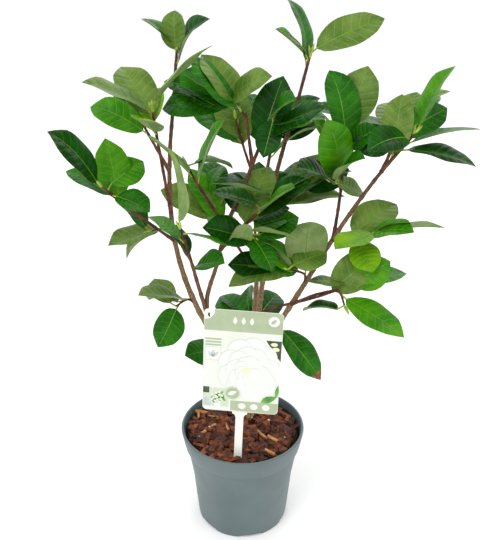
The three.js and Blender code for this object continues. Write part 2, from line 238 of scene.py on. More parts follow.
class Tone(Enum):
    """The colours that leaves come in, from old and shaded to new and lit; the darkest is painted shade and
    the olive is partly painted sheen.
    """

    # DEEP is painted shade: darker than any leaf's own green, for the dark deep among the leaves.
    DEEP = (hue(4, 50, 0), hue(12, 78, 2), hue(64, 114, 28))
    DARK = (hue(14, 80, 0), hue(36, 110, 4), hue(90, 142, 34))
    MID = (hue(40, 114, 0), hue(74, 142, 8), hue(124, 168, 44))
    BRIGHT = (hue(84, 140, 0), hue(118, 166, 14), hue(160, 192, 62))
    # OLIVE is partly an olive leaf colour and partly painted sheen, the grey-green that glossy tops show.
    OLIVE = (hue(70, 104, 28), hue(104, 132, 54), hue(146, 164, 94))


@dataclass(frozen=True)
class LeafFace:
    """The glossy upper side of a leaf, quilted between its side veins."""

    tone: Tone
    vein_pairs: float = 8.0
    vein_slant: float = 2.1
    roughness: float = 0.24

    def material(self) -> bpy.types.Material:
        """Builds the material from the blade's own map: across, then along."""
        sheet = Sheet(f"leaf_{self.tone.name.lower()}")
        base, light, vein = self.tone.value
        blade = sheet.node("ShaderNodeUVMap", {"uv_map": "blade"})
        across = sheet.node("ShaderNodeSeparateXYZ", None, {0: blade}, "X")
        along = sheet.node("ShaderNodeSeparateXYZ", None, {0: blade}, "Y")
        out = (across - 0.5).math("ABSOLUTE")
        ladder = (along * self.vein_pairs - out * self.vein_slant).math("PINGPONG", 0.5)
        side_vein = 1 - ladder.step(0.0, 0.09)
        grain = sheet.cloud(900.0, 4.0)
        patch = sheet.cloud(45.0, 2.0)
        body = sheet.blend(patch.step(0.3, 0.72), base, light)
        speckle = sheet.blend(grain.step(0.52, 0.75) * 0.35, body, vein)
        colour = sheet.blend(side_vein * 0.32, speckle, vein)
        quilt = ladder * 1.2 + grain * 0.35 - side_vein * 0.2
        rough = grain * 0.14 + self.roughness
        return sheet.finish(colour, rough, sheet.bump(quilt, 0.6, 0.0009), specular=0.13)


@dataclass(frozen=True)
class Matte:
    """A matte or satin finish of two colours clouded together, with a fine grain."""

    name: str
    base: Colour
    second: Colour
    cloud: float = 60.0
    grain: float = 900.0
    roughness: float = 0.6
    depth: float = 0.0003
    specular: float = 0.4

    def material(self) -> bpy.types.Material:
        """Builds the material on object coordinates."""
        sheet = Sheet(self.name)
        patch = sheet.cloud(self.cloud)
        grain = sheet.cloud(self.grain, 4.0)
        colour = sheet.blend((patch * 0.7 + grain * 0.3).step(0.34, 0.66), self.base, self.second)
        rough = grain * 0.12 + (self.roughness - 0.06)
        return sheet.finish(colour, rough, sheet.bump(grain, 0.3, self.depth), self.specular)


@dataclass(frozen=True)
class Bark:
    """Bark that goes from tan on the trunk to red-brown on the young shoots."""

    old: Colour = hue(168, 146, 108)
    old_dark: Colour = hue(112, 84, 54)
    young: Colour = hue(112, 62, 36)
    young_dark: Colour = hue(52, 26, 20)

    def material(self) -> bpy.types.Material:
        """Builds the material from the `age` attribute, 1 at the trunk and 0 at the tips."""
        sheet = Sheet("bark")
        age = sheet.node("ShaderNodeAttribute", {"attribute_name": "age"}, None, "Fac")
        stretch = sheet.node("ShaderNodeMapping", None, {"Vector": sheet.place(), "Scale": (1.0, 1.0, 0.22)})
        fissure = sheet.cloud(1500.0, 5.0, stretch)
        patch = sheet.cloud(120.0)
        old = sheet.blend(fissure.step(0.38, 0.6), self.old_dark, self.old)
        young = sheet.blend((patch * 0.6 + fissure * 0.4).step(0.4, 0.62), self.young_dark, self.young)
        colour = sheet.blend(age.step(0.25, 0.8), young, old)
        rough = fissure * 0.2 + 0.58
        return sheet.finish(colour, rough, sheet.bump(fissure, 0.6, 0.0006), 0.3)


def print_ink(name: str, base: Colour, second: Colour, cloud: float) -> Matte:
    """A print colour of the care card, in the card's own satin finish."""
    return Matte(name, base, second, cloud, 1500, 0.38, 0.00004)


LEAF_UNDER = Matte("leaf_under", hue(104, 130, 68), hue(134, 152, 96), 80, 1400, 0.58, 0.0003, 0.2)
MIDRIB = Matte("midrib", hue(82, 134, 30), hue(112, 152, 50), 200, 1500, 0.45)
PETIOLE = Matte("petiole", hue(128, 148, 34), hue(162, 172, 62), 160, 1500, 0.42)
BUD = Matte("bud", hue(132, 166, 46), hue(172, 194, 88), 260, 1200, 0.4)
DEAD_TIP = Matte("dead_tip", hue(96, 58, 30), hue(140, 92, 54), 300, 1500, 0.7)
POT_PLASTIC = Matte("pot_plastic", hue(86, 100, 102), hue(96, 110, 111), 18, 2200, 0.46, 0.00008)
COMPOST = Matte("compost", hue(26, 13, 9), hue(48, 25, 16), 260, 1400, 0.95, 0.0012, 0.2)
CHIP_DARK = Matte("chip_dark", hue(46, 22, 14), hue(84, 42, 26), 150, 1100, 0.68, 0.0008, 0.4)
CHIP_BROWN = Matte("chip_brown", hue(74, 38, 20), hue(118, 62, 34), 150, 1100, 0.66, 0.0008, 0.4)
CHIP_RED = Matte("chip_red", hue(104, 50, 24), hue(152, 82, 42), 150, 1100, 0.66, 0.0008, 0.4)
CHIP_TAN = Matte("chip_tan", hue(158, 100, 54), hue(198, 146, 94), 150, 1100, 0.7, 0.0008, 0.3)
GRAIN_WHITE = Matte("white_grain", hue(226, 220, 204), hue(240, 236, 226), 300, 1500, 0.8, 0.0004)
CARD_WHITE = Matte("card_white", hue(213, 217, 207), hue(220, 223, 214), 30, 1800, 0.38, 0.00005)
STAKE_WHITE = Matte("stake_white", hue(224, 224, 214), hue(234, 234, 226), 40, 1800, 0.42, 0.00006)
PRINT_SAGE = print_ink("print_sage", hue(158, 172, 138), hue(168, 180, 148), 60)
PRINT_PALE = print_ink("print_pale", hue(190, 200, 176), hue(200, 209, 188), 60)
PRINT_WHITE = print_ink("print_white", hue(226, 228, 222), hue(220, 223, 215), 50)
PRINT_PETAL = print_ink("print_petal", hue(224, 226, 222), hue(218, 221, 215), 90)
PRINT_SHADE = print_ink("print_shade", hue(198, 204, 194), hue(206, 211, 201), 90)
PRINT_HEART = print_ink("print_heart", hue(220, 220, 170), hue(224, 224, 190), 150)
PRINT_LEAF = print_ink("print_leaf", hue(58, 128, 52), hue(112, 168, 70), 120)
PRINT_NIGHT = print_ink("print_night", hue(38, 58, 40), hue(66, 86, 54), 160)
PRINT_GREY = print_ink("print_grey", hue(168, 180, 178), hue(196, 204, 200), 110)
FLOOR = Matte("floor", hue(254, 254, 254), hue(255, 255, 255), 3, 200, 0.9, 0.0001, 0.1)


class Finishes:
    """Makes each finish's material once."""

    def __init__(self) -> None:
        """Starts with nothing made."""
        self.made: dict[Any, bpy.types.Material] = {}

    def get(self, finish: Any) -> bpy.types.Material:
        """The material of a finish."""
        if finish not in self.made:
            self.made[finish] = finish.material()
        return self.made[finish]


# ------------------------------------------------------------------ mesh stock


@dataclass
class Stock:
    """Faces gathered for one piece, in millimetres."""

    name: str
    points: list[Vector] = field(default_factory=list)
    faces: list[tuple[int, ...]] = field(default_factory=list)
    kinds: list[int] = field(default_factory=list)
    blades: list[tuple[float, float]] = field(default_factory=list)
    ages: list[float] = field(default_factory=list)
    finishes: list[Any] = field(default_factory=list)

    def kind(self, finish: Any) -> int:
        """The material index of a finish."""
        if finish not in self.finishes:
            self.finishes.append(finish)
        return self.finishes.index(finish)

    def add(self, points: Sequence[Vector], faces: Sequence[Sequence[int]], finish: Any,
            blades: Optional[Sequence[tuple[float, float]]] = None, age: float = 0.0) -> None:
        """Adds faces.

        Args:
            points: their points.
            faces: indices into those points.
            finish: what the faces are finished in.
            blades: a place on the leaf's blade for each point, across and along.
            age: the bark's age at these points.
        """
        first = len(self.points)
        kind = self.kind(finish)
        self.points.extend(points)
        self.blades.extend(blades or [(0.5, 0.5)] * len(points))
        self.ages.extend([age] * len(points))
        self.faces.extend(tuple(first + i for i in face) for face in faces)
        self.kinds.extend([kind] * len(faces))

    def more(self, first: int, faces: Sequence[Sequence[int]], finish: Any) -> None:
        """Adds faces in another finish to points that are in already, from `first` on."""
        if not faces:
            return
        kind = self.kind(finish)
        self.faces.extend(tuple(first + i for i in face) for face in faces)
        self.kinds.extend([kind] * len(faces))

    def piece(self, finishes: Finishes, crease: float = 40.0) -> bpy.types.Object:
        """Makes the piece's object, with its place in its mesh.

        Args:
            finishes: where the materials come from.
            crease: edges sharper than this, in degrees, stay sharp.

        Returns:
            The object.
        """
        mesh = bpy.data.meshes.new(self.name)
        mesh.from_pydata([point * MM for point in self.points], [], self.faces)
        for finish in self.finishes:
            mesh.materials.append(finishes.get(finish))
        mesh.polygons.foreach_set("material_index", self.kinds)
        blade = mesh.uv_layers.new(name="blade")
        corners = [value for loop in mesh.loops for value in self.blades[loop.vertex_index]]
        blade.data.foreach_set("uv", corners)
        age = mesh.attributes.new("age", "FLOAT", "POINT")
        age.data.foreach_set("value", self.ages)
        mesh.polygons.foreach_set("use_smooth", [True] * len(mesh.polygons))
        mesh.set_sharp_from_angle(angle=math.radians(crease))
        mesh.update()
        return place_object(self.name, mesh)


def settle(piece: bpy.types.Object, slot: str, *nodes: str) -> None:
    """Rides a piece on the plant's body and hides the nodes it stands for."""
    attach(piece, BODY)
    if nodes:
        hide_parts(*nodes)
    triangles = sum(len(face.vertices) - 2 for face in piece.data.polygons)
    LOG.info("%s: %d triangles", piece.name, triangles)


def ring_frames(path: Sequence[Vector]) -> list[tuple[Vector, Vector, Vector]]:
    """Along, side and up at each point of a path, turning as little as they can."""
    frames = []
    side: Optional[Vector] = None
    for i, _ in enumerate(path):
        along = (path[min(i + 1, len(path) - 1)] - path[max(i - 1, 0)]).normalized()
        if side is None:
            side = along.orthogonal()
        side = (side - along * side.dot(along)).normalized()
        frames.append((along, side, along.cross(side)))
    return frames


def wrap(rings: int, sides: int) -> list[tuple[int, ...]]:
    """The faces between closed rings of points that follow one another."""
    faces: list[tuple[int, ...]] = []
    for i in range(rings - 1):
        for j in range(sides):
            a = i * sides + j
            b = i * sides + (j + 1) % sides
            faces.append((a, b, b + sides, a + sides))
    return faces


def tube(path: Sequence[Vector], radii: Sequence[float], sides: int,
         relief: float = 0.0) -> tuple[list[Vector], list[tuple[int, ...]]]:
    """A closed tube along a path.

    Args:
        path: its centreline.
        radii: its radius at each point of the path.
        sides: the points in each ring.
        relief: how far the surface wanders in and out, as a share of the radius.

    Returns:
        The points and faces.
    """
    points = []
    for centre, radius, (_, side, up) in zip(path, radii, ring_frames(path)):
        for j in range(sides):
            turn = 2 * math.pi * j / sides
            out = side * math.cos(turn) + up * math.sin(turn)
            rough = noise.noise((centre + out * radius) * 0.45) + 0.5 * noise.noise(out * 2 + centre * 0.12)
            points.append(centre + out * radius * (1 + relief * rough))
    faces = wrap(len(path), sides)
    faces.append(tuple(reversed(range(sides))))
    faces.append(tuple(range(len(points) - sides, len(points))))
    return points, faces


def smooth_path(knots: Sequence[Vector], step: float) -> list[Vector]:
    """A smooth curve through knots, with a point about every `step`."""
    path = [knots[0].copy()]
    for i in range(len(knots) - 1):
        before = knots[max(i - 1, 0)]
        a = knots[i]
        b = knots[i + 1]
        after = knots[min(i + 2, len(knots) - 1)]
        count = max(1, round((b - a).length / step))
        for k in range(1, count + 1):
            t = k / count
            pull_a = (b - before) * 0.5
            pull_b = (after - a) * 0.5
            flat = a * (2 * t ** 3 - 3 * t ** 2 + 1) + b * (3 * t ** 2 - 2 * t ** 3)
            path.append(flat + pull_a * (t ** 3 - 2 * t ** 2 + t) + pull_b * (t ** 3 - t ** 2))
    return path


# ------------------------------------------------------------------ limbs

# What each limb grows from.
PARENTS: dict[str, Optional[str]] = {
    "trunk": None,
    "stem_right": "trunk",
    "stem_middle": "trunk",
    "stem_left": "trunk",
    "stem_top": "trunk",
    "stem_back": "trunk",
    "stem_centre": "stem_middle",
    "stem_front_left": "stem_middle",
    "bough_upper_middle": "stem_middle",
    "bough_centre": "stem_middle",
    "bough_upper_centre": "stem_centre",
    "bough_upper_right": "stem_right",
    "bough_right": "stem_right",
    "bough_left": "stem_left",
    "bough_upper_left": "stem_left",
    "bough_lower_right": "stem_right",
    "bough_low_centre": "stem_middle",
    "bough_back_left": "stem_back",
    "bough_back": "stem_back",
    "bough_back_middle": "stem_back",
    "bough_back_right": "stem_back",
    "bough_far_left": "stem_left",
    "bough_far_right": "stem_right",
    "bough_low_back": "stem_back",
}
RING_EDGE = 7.0  # an edge shorter than this lies within a ring
RING_SIZES = (5, 9)  # how many points a whole ring has, on a bough or the trunk
SHOOT = 10.0  # how far a limb runs on past its node's tip
SUNK = 4.0  # how far the trunk goes down into the compost
STEP = 2.6  # between the points of a limb's centreline
BACK_REACH = 1.3  # how far back a fork is looked for, in ring gaps


@dataclass
class Limb:
    """One limb's centreline and girth, read from its node in the frame."""

    name: str
    path: list[Vector]
    radii: list[float]
    marks: list[float]
    grown: float

    @classmethod
    def read(cls, name: str, parent: Optional["Limb"]) -> "Limb":
        """Finds the rings of points that the node's tube is made of.

        Args:
            name: the node.
            parent: the limb it grows from.

        Returns:
            The limb, from its parent's centreline to a short shoot past its tip.
        """
        rings = cls.rings(name)
        if parent is None:
            rings.sort(key=lambda ring: ring[0].z)
            knots = [centre for centre, _ in rings]
            girth = [radius for _, radius in rings]
            knots.insert(0, knots[0] - Vector((0, 0, SUNK)))
            girth.insert(0, girth[0])
        else:
            first = min(rings, key=lambda ring: min((ring[0] - p).length for p in parent.path))
            order = [first]
            rest = [ring for ring in rings if ring is not first]
            while rest:
                near = min(rest, key=lambda ring: (ring[0] - order[-1][0]).length)
                rest.remove(near)
                order.append(near)
            knots = [centre for centre, _ in order]
            girth = [radius for _, radius in order]
            back = (knots[0] - knots[1]).normalized()
            reach = (knots[0] - knots[1]).length * BACK_REACH

            def miss(point: Vector) -> float:
                """How far a point of the parent is from where this limb comes from."""
                run = min(max((point - knots[0]).dot(back), 0.0), reach)
                return (knots[0] + back * run - point).length

            knots.insert(0, min(parent.path, key=miss).copy())
            girth.insert(0, girth[0] * 1.05)
        tip = (knots[-1] - knots[-2]).normalized()
        knots.append(knots[-1] + tip * SHOOT)
        girth.append(girth[-1] * 0.75)
        return cls.along(name, knots, girth)

    @staticmethod
    def rings(name: str) -> list[tuple[Vector, float]]:
        """The centre and radius of each whole ring of a node that is a tube."""
        solid = merged(name)
        group = list(range(len(solid.verts)))

        def root(i: int) -> int:
            """The first point of a point's ring."""
            while group[i] != i:
                i = group[i]
            return i

        for edge in solid.edges:
            if edge.calc_length() < RING_EDGE * MM:
                a, b = (root(v.index) for v in edge.verts)
                group[max(a, b)] = min(a, b)
        members: dict[int, list[Vector]] = {}
        for vert in solid.verts:
            members.setdefault(root(vert.index), []).append(vert.co / MM)
        solid.free()
        found = []
        for ring in members.values():
            if len(ring) in RING_SIZES:
                centre = sum(ring, Vector()) / len(ring)
                found.append((centre, sum((p - centre).length for p in ring) / len(ring)))
        return found

    @classmethod
    def along(cls, name: str, knots: list[Vector], girth: list[float]) -> "Limb":
        """A limb through knots, with its girth spread evenly between them."""
        marks = [0.0]
        for a, b in zip(knots, knots[1:]):
            marks.append(marks[-1] + (b - a).length)
        path = smooth_path(knots, STEP)
        walked = [0.0]
        for a, b in zip(path, path[1:]):
            walked.append(walked[-1] + (b - a).length)
        scale = marks[-1] / walked[-1]
        radii = []
        for run in walked:
            here = run * scale
            k = min(max(i for i, m in enumerate(marks) if m <= here + 1e-6), len(marks) - 2)
            share = (here - marks[k]) / (marks[k + 1] - marks[k])
            radii.append(girth[k] + (girth[k + 1] - girth[k]) * min(max(share, 0.0), 1.0))
        return cls(name, path, radii, walked, walked[-1] - SHOOT)

    def spot(self, at: float) -> tuple[Vector, Vector, float]:
        """The place, heading and radius at a share of the limb's length.

        Args:
            at: 0 at its foot and 1 at its tip; the shoot runs on a little past 1.

        Returns:
            The place, the unit heading and the radius.
        """
        run = min(max(at * self.grown, 0.0), self.marks[-1])
        k = min(max(i for i, m in enumerate(self.marks) if m <= run + 1e-6), len(self.path) - 2)
        share = (run - self.marks[k]) / (self.marks[k + 1] - self.marks[k])
        place = self.path[k].lerp(self.path[k + 1], share)
        return place, (self.path[k + 1] - self.path[k]).normalized(), self.radii[k]


@dataclass
class Framework:
    """The trunk, stems and boughs, in one skin of bark."""

    sides: int = 12
    relief: float = 0.14
    node_gap: float = 21.0
    node_swell: float = 0.16
    collar: float = 0.45
    collar_run: float = 7.0
    oldest: float = 5.0
    limbs: dict[str, Limb] = field(default_factory=dict)

    def read(self) -> None:
        """Reads every limb from the frame."""
        for name, parent in PARENTS.items():
            self.limbs[name] = Limb.read(name, self.limbs[parent] if parent else None)

    def girth(self, limb: Limb) -> list[float]:
        """A limb's radii with its collar at the fork and a swelling at each leaf scar."""
        grown = []
        for run, radius in zip(limb.marks, limb.radii):
            swell = self.node_swell * math.exp(-(((run % self.node_gap) - 10) / 1.7) ** 2)
            collar = 0.0 if limb.name == "trunk" else self.collar * math.exp(-run / self.collar_run)
            closing = min(1.0, 0.35 + (limb.marks[-1] - run) / 4)
            grown.append(radius * (1 + swell + collar) * closing)
        return grown

    def build(self, finishes: Finishes) -> None:
        """Makes the bark piece, which stands for every limb."""
        stock = Stock("bark")
        for limb in self.limbs.values():
            points, faces = tube(limb.path, self.girth(limb), self.sides, self.relief)
            stock.add(points, faces, Bark())
            rings = len(limb.path)
            for i in range(rings):
                age = min(1.0, limb.radii[i] / self.oldest)
                first = len(stock.ages) - rings * self.sides + i * self.sides
                stock.ages[first:first + self.sides] = [age] * self.sides
        settle(stock.piece(finishes), "bark", *PARENTS)


# ------------------------------------------------------------------ leaves


class Palette(Enum):
    """The tones that a spray's leaves are dealt: by the age of its shoot, or as painted shade for sprays
    that lie in shade, or as painted sheen for sprays of glossy grey-green leaves.
    """

    YOUNG = (Tone.BRIGHT, Tone.MID, Tone.OLIVE)
    GROWN = (Tone.DARK, Tone.MID, Tone.DEEP, Tone.OLIVE)
    # Painted shade: only the darkest tones, for sprays that lie in the plant's shade.
    SHADED = (Tone.DEEP, Tone.DARK)
    # Painted sheen: olive tones for the grey sheen of glossy leaves.
    GREY_SHEEN = (Tone.OLIVE, Tone.DARK)


@dataclass(frozen=True)
class Leaf:
    """One leaf: the way it points, its size, and how its blade is turned and bent in degrees."""

    along: Vector
    length: float
    width: float
    lean: float
    curl: float
    fold: float
    tone: Tone
    browned: bool = False


@dataclass
class LeafMaker:
    """Makes leaves in their own outline, each a closed blade with a rib on both sides."""

    rows: int = 14
    columns: tuple[float, ...] = (-1.0, -0.66, -0.3, 0.0, 0.3, 0.66, 1.0)
    thickness: float = 0.5
    rim: float = 0.3
    swell: float = 0.58
    taper: float = 0.62
    point: float = 0.055

    def half(self, v: float) -> float:
        """The share of the half-width at a share of the length: round at the foot, drawn at the tip."""
        peak = self.swell / (self.swell + self.taper)
        top = peak ** self.swell * (1 - peak) ** self.taper
        body = v ** self.swell * (1 - v) ** self.taper / top
        drawn = 1 - 0.55 * max(0.0, (v - 0.78) / 0.22) ** 1.3
        return max(body * drawn, self.point * (1 - v))

    def spine(self, base: Vector, normal: Vector, leaf: Leaf) -> list[tuple[Vector, Vector, Vector]]:
        """Place, heading and normal down the midrib, which arches up and then recurves."""
        side = leaf.along.cross(normal)
        spots = []
        place = base.copy()
        for i in range(self.rows + 1):
            bend = math.radians(leaf.curl * ((i / self.rows) ** 1.7 - 0.33))
            turn = Matrix.Rotation(-bend, 3, side)
            spots.append((place.copy(), turn @ leaf.along, turn @ normal))
            place = place + (turn @ leaf.along) * (leaf.length / self.rows)
        return spots

    def add(self, stock: Stock, base: Vector, leaf: Leaf, dice: random.Random) -> None:
        """Adds a leaf.

        Args:
            stock: the piece it goes into.
            base: where the blade starts.
            leaf: its heading, size and finish.
            dice: the spray's dice, for the waves in its edge.
        """
        up = Vector((0, 0, 1))
        normal = (up - leaf.along * up.dot(leaf.along)).normalized()
        side = leaf.along.cross(normal)
        lit = 1.0 if side.y <= 0 else -1.0
        normal = Matrix.Rotation(math.radians(leaf.lean) * lit, 3, leaf.along) @ normal
        spots = self.spine(base, normal, leaf)
        phase = dice.uniform(0, math.tau)
        fold = math.radians(leaf.fold)
        upper: list[Vector] = []
        lower: list[Vector] = []
        blades: list[tuple[float, float]] = []
        for i, (place, ahead, above) in enumerate(spots):
            v = i / self.rows
            across = ahead.cross(above)
            half = self.half(v) * leaf.width / 2
            for u in self.columns:
                out = half * u
                lift = abs(out) * math.sin(fold) - 0.16 * half * u ** 4
                ripple = math.sin(v * 9 + phase + (u > 0) * 1.3) * u * u * math.sin(math.pi * v)
                wave = 0.035 * leaf.width * ripple
                point = place + across * (out * math.cos(fold)) + above * (lift + wave)
                upper.append(point)
                lower.append(point - above * self.thickness * (1 - (1 - self.rim) * u * u))
                blades.append((0.5 + 0.5 * u, v))
        self.skin(stock, upper + lower, blades * 2, leaf)
        self.rib(stock, spots, fold, 0.62, 0.3, 1.0)
        self.rib(stock, spots, fold, 0.7, 0.45, -1.0)

    def skin(self, stock: Stock, points: list[Vector], blades: list[tuple[float, float]],
             leaf: Leaf) -> None:
        """Adds the blade's upper and lower sides, joined all round."""
        wide = len(self.columns)
        count = len(points) // 2
        top: list[tuple[int, ...]] = []
        low: list[tuple[int, ...]] = []
        dead: list[tuple[int, ...]] = []
        for i in range(self.rows):
            for j in range(wide - 1):
                a = i * wide + j
                b = a + wide
                over = (a, a + 1, b + 1, b)
                under = (count + a, count + b, count + b + 1, count + a + 1)
                browned = leaf.browned and i >= self.rows - 2
                (dead if browned else top).append(over)
                (dead if browned else low).append(under)
            left = i * wide
            right = left + wide - 1
            low.append((left, left + wide, count + left + wide, count + left))
            low.append((right + wide, right, count + right, count + right + wide))
        for j in range(wide - 1):
            end = self.rows * wide + j
            low.append((j + 1, j, count + j, count + j + 1))
            low.append((end, end + 1, count + end + 1, count + end))
        first = len(stock.points)
        stock.add(points, top, LeafFace(leaf.tone), blades)
        stock.more(first, low, LEAF_UNDER)
        stock.more(first, dead, DEAD_TIP)

    def rib(self, stock: Stock, spots: Sequence[tuple[Vector, Vector, Vector]], fold: float,
            width: float, height: float, side: float) -> None:
        """Adds the midrib as a slim closed ridge on the upper (1) or lower (-1) side."""
        rows = spots[:-1]
        points = []
        for i, (place, ahead, above) in enumerate(rows):
            taper = 1 - 0.75 * i / (len(rows) - 1)
            across = ahead.cross(above) * width * taper
            foot = place - above * (self.thickness if side < 0 else 0.0)
            shoulder = above * (width * taper * math.sin(fold) + 0.02)
            ridge = above * side * height * (0.4 + 0.6 * taper)
            points += [foot - across + shoulder, foot + ridge, foot + across + shoulder]
        faces = wrap(len(rows), 3)
        faces += [(2, 1, 0), tuple(len(points) - 3 + k for k in range(3))]
        if side < 0:
            faces = [tuple(reversed(face)) for face in faces]
        stock.add(points, faces, MIDRIB)


@dataclass(frozen=True)
class Spray:
    """The leaves that stand for one mass, and the limb that they grow on from.

    `fill` is how many leaves grow besides those that reach the mass's lobes.
    """

    mass: str
    limb: str
    seed: int
    fill: int = 2
    palette: Palette = Palette.GROWN
    buds: int = 1
    browned: bool = False


@dataclass
class Mass:
    """The room that one of the frame's masses gives its leaves: its core, lobes and box."""

    name: str
    stand_out: float = 1.25
    core: Vector = field(default_factory=Vector)
    tips: list[Vector] = field(default_factory=list)

    def __post_init__(self) -> None:
        """Finds the core, and the points that stand out from it further than all round them."""
        solid = merged(self.name)
        points = [vert.co / MM for vert in solid.verts]
        middle = len(points) // 2
        self.core = Vector([sorted(point[axis] for point in points)[middle] for axis in range(3)])

        def reach(vert: Any) -> float:
            """How far a point is from the core."""
            return (vert.co / MM - self.core).length

        usual = sorted(map(reach, solid.verts))[middle]
        for vert in solid.verts:
            here = reach(vert)
            round_it = (reach(edge.other_vert(vert)) for edge in vert.link_edges)
            if here > self.stand_out * usual and all(here > other for other in round_it):
                self.tips.append(vert.co / MM)
        solid.free()
        self.tips.sort(key=lambda tip: -(tip - self.core).length)
        self.low, self.high = node_box(self.name)

    def holds(self, tip: Vector, margin: float) -> bool:
        """Whether a point is in the mass's box, with a margin."""
        return all(self.low[a] - margin <= tip[a] <= self.high[a] + margin for a in range(3))


@dataclass
class Foliage:
    """Grows every spray by one seeded rule, from the limbs and masses of the frame.

    A shoot runs from the limb into the mass. Leaves stand along it, each turned on from the
    last by `divergence`. The first ones reach out to the mass's lobes, and the rest keep
    within its box.
    """

    framework: Framework
    divergence: float = 144.0
    node_gap: float = 7.5
    stalk: float = 8.0
    length: float = 68.0
    shortest: float = 40.0
    longest: float = 80.0
    slim: float = 36.0
    broad: float = 47.0
    to_light: float = 20.0
    lean_spread: float = 22.0
    curls: tuple[float, float] = (12, 32)
    deep_curls: tuple[float, float] = (40, 64)
    deep_share: float = 0.2
    folds: tuple[float, float] = (8, 28)
    filler_rises: tuple[float, float] = (5, 45)
    filler_lengths: tuple[float, float] = (52, 70)
    filler_shares: tuple[float, ...] = (1.0, 0.85, 0.7)
    filler_turns: int = 10
    bud_steps: int = 8
    margin: float = 4.0
    twig_from: float = 15.0
    maker: LeafMaker = field(default_factory=LeafMaker)
    twigs: Stock = field(default_factory=lambda: Stock("twigs"))
    buds: Stock = field(default_factory=lambda: Stock("buds"))

    def shoot(self, limb: Limb, mass: Mass) -> Limb:
        """The limb itself where it reaches the mass, or else a twig grown on to the mass.

        Args:
            limb: the limb that the spray grows on.
            mass: where its leaves are wanted.

        Returns:
            The shoot that bears the leaves. It ends at the mass's core.
        """
        near = min(range(len(limb.path)), key=lambda i: (limb.path[i] - mass.core).length)
        gap = (limb.path[near] - mass.core).length
        if gap < self.twig_from:
            path = limb.path[:near + 1]
            return Limb(limb.name, path, limb.radii[:near + 1], limb.marks[:near + 1], limb.marks[near])
        run = max(0.0, limb.marks[near] - 0.4 * gap)
        foot, ahead, _ = limb.spot(run / limb.grown)
        bend = foot + ahead * gap * 0.3 + (mass.core - foot) * 0.25
        twig = Limb.along(f"twig_{mass.name}", [foot, bend, mass.core], [1.5, 1.3, 1.0])
        points, faces = tube(twig.path, twig.radii, 8, 0.12)
        self.twigs.add(points, faces, Bark(), age=0.2)
        return Limb(twig.name, twig.path, twig.radii, twig.marks, twig.marks[-1])

    def leaf(self, aim: Vector, length: float, spray: Spray, dice: random.Random,
             browned: bool = False) -> Leaf:
        """A leaf with the spray's dice thrown for its width, turn, bend and tone.

        Args:
            aim: the way it points.
            length: its blade's length.
            spray: the spray it belongs to.
            dice: the spray's dice.
            browned: whether its tip has died back.

        Returns:
            The leaf.
        """
        width = dice.uniform(self.slim, self.broad) * math.sqrt(length / self.length)
        lean = dice.gauss(self.to_light, self.lean_spread)
        curl = dice.uniform(*(self.curls if dice.random() > self.deep_share else self.deep_curls))
        fold = dice.uniform(*self.folds)
        return Leaf(aim, length, width, lean, curl, fold, dice.choice(spray.palette.value), browned)

    def hang(self, stock: Stock, foot: Vector, ahead: Vector, leaf: Leaf, dice: random.Random) -> None:
        """Grows a leaf's stalk out of its shoot and hangs the blade on it."""
        way = (ahead * 0.35 + leaf.along * 0.65).normalized()
        bow = foot + way * self.stalk * 0.6
        base = foot + way * self.stalk
        path = []
        for k in range(7):
            t = k / 6
            path.append(foot.lerp(bow, t).lerp(bow.lerp(base + leaf.along * 1.5, t), t))
        points, faces = tube(path, [1.05 - 0.04 * k for k in range(7)], 7, 0.05)
        stock.add(points, faces, PETIOLE)
        self.maker.add(stock, base, leaf, dice)

    def grow(self, spray: Spray) -> Stock:
        """Grows one spray.

        Args:
            spray: what it stands for, what it grows on, and its seed.

        Returns:
            The spray's leaves.
        """
        dice = random.Random(spray.seed)
        mass = Mass(f"leaves_{spray.mass}")
        shoot = self.shoot(self.framework.limbs[spray.limb], mass)
        stock = Stock(f"foliage_{spray.mass}")
        count = len(mass.tips) + spray.fill
        gap = min(self.node_gap, shoot.grown * 0.8 / count)
        nodes = [shoot.spot(1 - gap * k / shoot.grown) for k in range(count)]
        for number, tip in enumerate(mass.tips):
            wanted = self.length + self.stalk
            node = min(nodes, key=lambda spot: abs((tip - spot[0]).length - wanted))
            nodes.remove(node)
            reach = tip - node[0]
            length = min(max(reach.length - self.stalk, self.shortest), self.longest)
            leaf = self.leaf(reach.normalized(), length, spray, dice, spray.browned and number == 0)
            self.hang(stock, node[0], node[1], leaf, dice)
        start = dice.uniform(0, 360)
        for number, (foot, ahead, _) in enumerate(nodes):
            leaf = self.filler(foot, start + self.divergence * number, mass, spray, dice)
            if leaf:
                self.hang(stock, foot, ahead, leaf, dice)
        self.end_buds(shoot, spray, dice)
        return stock

    def filler(self, foot: Vector, start: float, mass: Mass, spray: Spray,
               dice: random.Random) -> Optional[Leaf]:
        """The leaf at a node that reaches no lobe, or None where there is no room for it.

        Args:
            foot: the node.
            start: the bearing that its turn round the shoot gives.
            mass: the room there is.
            spray: the spray it belongs to.
            dice: the spray's dice.

        Returns:
            The leaf.
        """
        rise = dice.uniform(*self.filler_rises)
        size = dice.uniform(*self.filler_lengths)
        for turn in range(self.filler_turns):
            aim = heading(start + 360 / self.filler_turns * turn, rise)
            for share in self.filler_shares:
                if mass.holds(foot + aim * (size * share + self.stalk), self.margin):
                    return self.leaf(aim, size * share, spray, dice)
        return None

